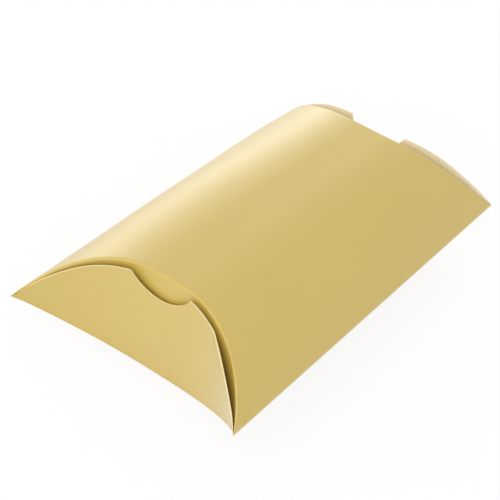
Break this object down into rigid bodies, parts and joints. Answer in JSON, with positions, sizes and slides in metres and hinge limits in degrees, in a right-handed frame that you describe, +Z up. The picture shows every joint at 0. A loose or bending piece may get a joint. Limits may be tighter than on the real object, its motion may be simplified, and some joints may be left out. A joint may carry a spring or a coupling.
{
  "type": "pillow box",
  "caption": "Pillow-shaped folding card box: a bulging glued sleeve closed at both ends by curved tuck flaps with thumb notches.",
  "frame": {"origin": "middle of the flat strip of the belly that the box rests on", "axes": "+X across the box to the right seen from the shown end, +Y along the box away from the shown end, +Z up"},
  "size_m": [0.08, 0.153, 0.0396],
  "materials": {
    "gold_card": "satin pearl gold",
    "glue": "clear dried glue"
  },
  "bodies": {
    "sleeve": {"top_panel": "gold_card", "bottom_panel": "gold_card", "right_side_fold": "gold_card", "left_side_fold": "gold_card", "glue_tab": "gold_card", "glue_line": "glue", "front_outer_crease": "gold_card", "front_inner_crease": "gold_card", "rear_outer_crease": "gold_card", "rear_inner_crease": "gold_card"},
    "front_outer_flap": {"front_outer_flap": "gold_card"},
    "front_inner_flap": {"front_inner_flap": "gold_card"},
    "rear_outer_flap": {"rear_outer_flap": "gold_card"},
    "rear_inner_flap": {"rear_inner_flap": "gold_card"}
  },
  "joints": [
    {"name": "front_outer_hinge", "type": "hinge", "parent": "sleeve", "child": "front_outer_flap", "pos_m": [0, -0.05376, 0.00022], "axis": [1, 0, 0], "range_deg": [0, 80]},
    {"name": "front_inner_hinge", "type": "hinge", "parent": "sleeve", "child": "front_inner_flap", "pos_m": [0, -0.05722, 0.03938], "axis": [-1, 0, 0], "range_deg": [0, 80]},
    {"name": "rear_outer_hinge", "type": "hinge", "parent": "sleeve", "child": "rear_outer_flap", "pos_m": [0, 0.05376, 0.00022], "axis": [-1, 0, 0], "range_deg": [0, 80]},
    {"name": "rear_inner_hinge", "type": "hinge", "parent": "sleeve", "child": "rear_inner_flap", "pos_m": [0, 0.05495, 0.03938], "axis": [1, 0, 0], "range_deg": [0, 80]}
  ],
  "couplings": [
    {"joint": "front_inner_hinge", "follows": "front_outer_hinge", "ratio": 1},
    {"joint": "rear_inner_hinge", "follows": "rear_outer_hinge", "ratio": 1}
  ]
}
